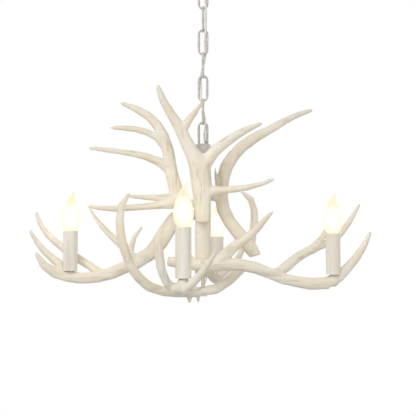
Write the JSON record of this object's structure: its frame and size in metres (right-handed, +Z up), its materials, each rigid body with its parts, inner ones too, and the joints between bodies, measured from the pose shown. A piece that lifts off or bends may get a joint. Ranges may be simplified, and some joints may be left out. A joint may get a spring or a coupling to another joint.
{
  "type": "antler chandelier",
  "caption": "Chain-hung antler chandelier: curved tined arms round a centre column carry candle lamps under a bell-shaped cap.",
  "frame": {"origin": "in the ceiling plane, on the line that the chandelier hangs from", "axes": "+Z up, +X to the right seen from the front, -Y to the front"},
  "size_m": [0.6518, 0.412, 0.677],
  "materials": {
    "antler_ivory": "satin",
    "plug_putty": "matte",
    "chain_paint": "satin",
    "hub_paint": "satin",
    "canopy_paint": "satin",
    "lead_pvc": "gloss",
    "sleeve_resin": "satin",
    "holder_resin": "matte",
    "brass": "satin",
    "zinc_steel": "satin",
    "bulb_glass": "satin",
    "wire_pvc": "gloss"
  },
  "bodies": {
    "ceiling": {"crossbar": "zinc_steel", "crossbar_nipple": "zinc_steel", "crossbar_nut": "zinc_steel", "screw_loop": "chain_paint", "power_cord": "lead_pvc"},
    "canopy": {"canopy": "canopy_paint", "canopy_ring": "canopy_paint"},
    "link_1": {"chain_link_1": "chain_paint"},
    "link_2": {"chain_link_2": "chain_paint"},
    "link_3": {"chain_link_3": "chain_paint"},
    "link_4": {"chain_link_4": "chain_paint"},
    "link_5": {"chain_link_5": "chain_paint"},
    "link_6": {"chain_link_6": "chain_paint"},
    "link_7": {"chain_link_7": "chain_paint"},
    "chandelier": {"antler_upper_left": "antler_ivory", "antler_upper_front": "antler_ivory", "antler_upper_right": "antler_ivory", "antler_left": "antler_ivory", "antler_right": "antler_ivory", "antler_front": "antler_ivory", "antler_back": "antler_ivory", "antler_screws": "zinc_steel", "screw_plugs": "plug_putty", "bottom_cap": "hub_paint", "column": "hub_paint", "hanging_eye": "chain_paint", "lamp_contacts": "brass", "lamp_nipples": "zinc_steel", "lamp_nuts": "zinc_steel", "rod_nuts": "zinc_steel", "tie_rod": "hub_paint", "top_cap": "hub_paint", "wire_junction": "holder_resin", "lamp_holder_left": "holder_resin", "sleeve_left": "sleeve_resin", "threaded_shell_left": "brass", "wire_left": "wire_pvc", "lamp_holder_right": "holder_resin", "sleeve_right": "sleeve_resin", "threaded_shell_right": "brass", "wire_right": "wire_pvc", "lamp_holder_front": "holder_resin", "sleeve_front": "sleeve_resin", "threaded_shell_front": "brass", "wire_front": "wire_pvc", "lamp_holder_back": "holder_resin", "sleeve_back": "sleeve_resin", "threaded_shell_back": "brass", "wire_back": "wire_pvc"},
    "bulb_left": {"bulb_cap_left": "brass", "bulb_glass_left": "bulb_glass"},
    "bulb_right": {"bulb_cap_right": "brass", "bulb_glass_right": "bulb_glass"},
    "bulb_front": {"bulb_cap_front": "brass", "bulb_glass_front": "bulb_glass"},
    "bulb_back": {"bulb_cap_back": "brass", "bulb_glass_back": "bulb_glass"}
  },
  "joints": [
    {"name": "canopy_slide", "type": "slide", "parent": "ceiling", "child": "canopy", "axis": [0, 0, -1], "range_m": [0, 0.025]},
    {"name": "link_1_swing", "type": "hinge", "parent": "ceiling", "child": "link_1", "pos_m": [0, 0, -0.0705], "axis": [0, 1, 0], "range_deg": [-12, 12], "deforming": ["power_cord"]},
    {"name": "link_2_swing", "type": "hinge", "parent": "link_1", "child": "link_2", "pos_m": [0, 0, -0.1149], "axis": [1, 0, 0], "range_deg": [-12, 12]},
    {"name": "link_3_swing", "type": "hinge", "parent": "link_2", "child": "link_3", "pos_m": [0, 0, -0.1598], "axis": [0, 1, 0], "range_deg": [-12, 12]},
    {"name": "link_4_swing", "type": "hinge", "parent": "link_3", "child": "link_4", "pos_m": [0, 0, -0.2047], "axis": [1, 0, 0], "range_deg": [-12, 12]},
    {"name": "link_5_swing", "type": "hinge", "parent": "link_4", "child": "link_5", "pos_m": [0, 0, -0.2496], "axis": [0, 1, 0], "range_deg": [-12, 12]},
    {"name": "link_6_swing", "type": "hinge", "parent": "link_5", "child": "link_6", "pos_m": [0, 0, -0.2945], "axis": [1, 0, 0], "range_deg": [-12, 12]},
    {"name": "link_7_swing", "type": "hinge", "parent": "link_6", "child": "link_7", "pos_m": [0, 0, -0.3394], "axis": [0, 1, 0], "range_deg": [-12, 12]},
    {"name": "chandelier_swing", "type": "hinge", "parent": "link_7", "child": "chandelier", "pos_m": [0, 0, -0.3843], "axis": [1, 0, 0], "range_deg": [-12, 12]},
    {"name": "bulb_left_pull", "type": "slide", "parent": "chandelier", "child": "bulb_left", "axis": [0, 0, 1], "range_m": [0, 0.04]},
    {"name": "bulb_right_pull", "type": "slide", "parent": "chandelier", "child": "bulb_right", "axis": [0, 0, 1], "range_m": [0, 0.04]},
    {"name": "bulb_front_pull", "type": "slide", "parent": "chandelier", "child": "bulb_front", "axis": [0, 0, 1], "range_m": [0, 0.04]},
    {"name": "bulb_back_pull", "type": "slide", "parent": "chandelier", "child": "bulb_back", "axis": [0, 0, 1], "range_m": [0, 0.04]}
  ]
}
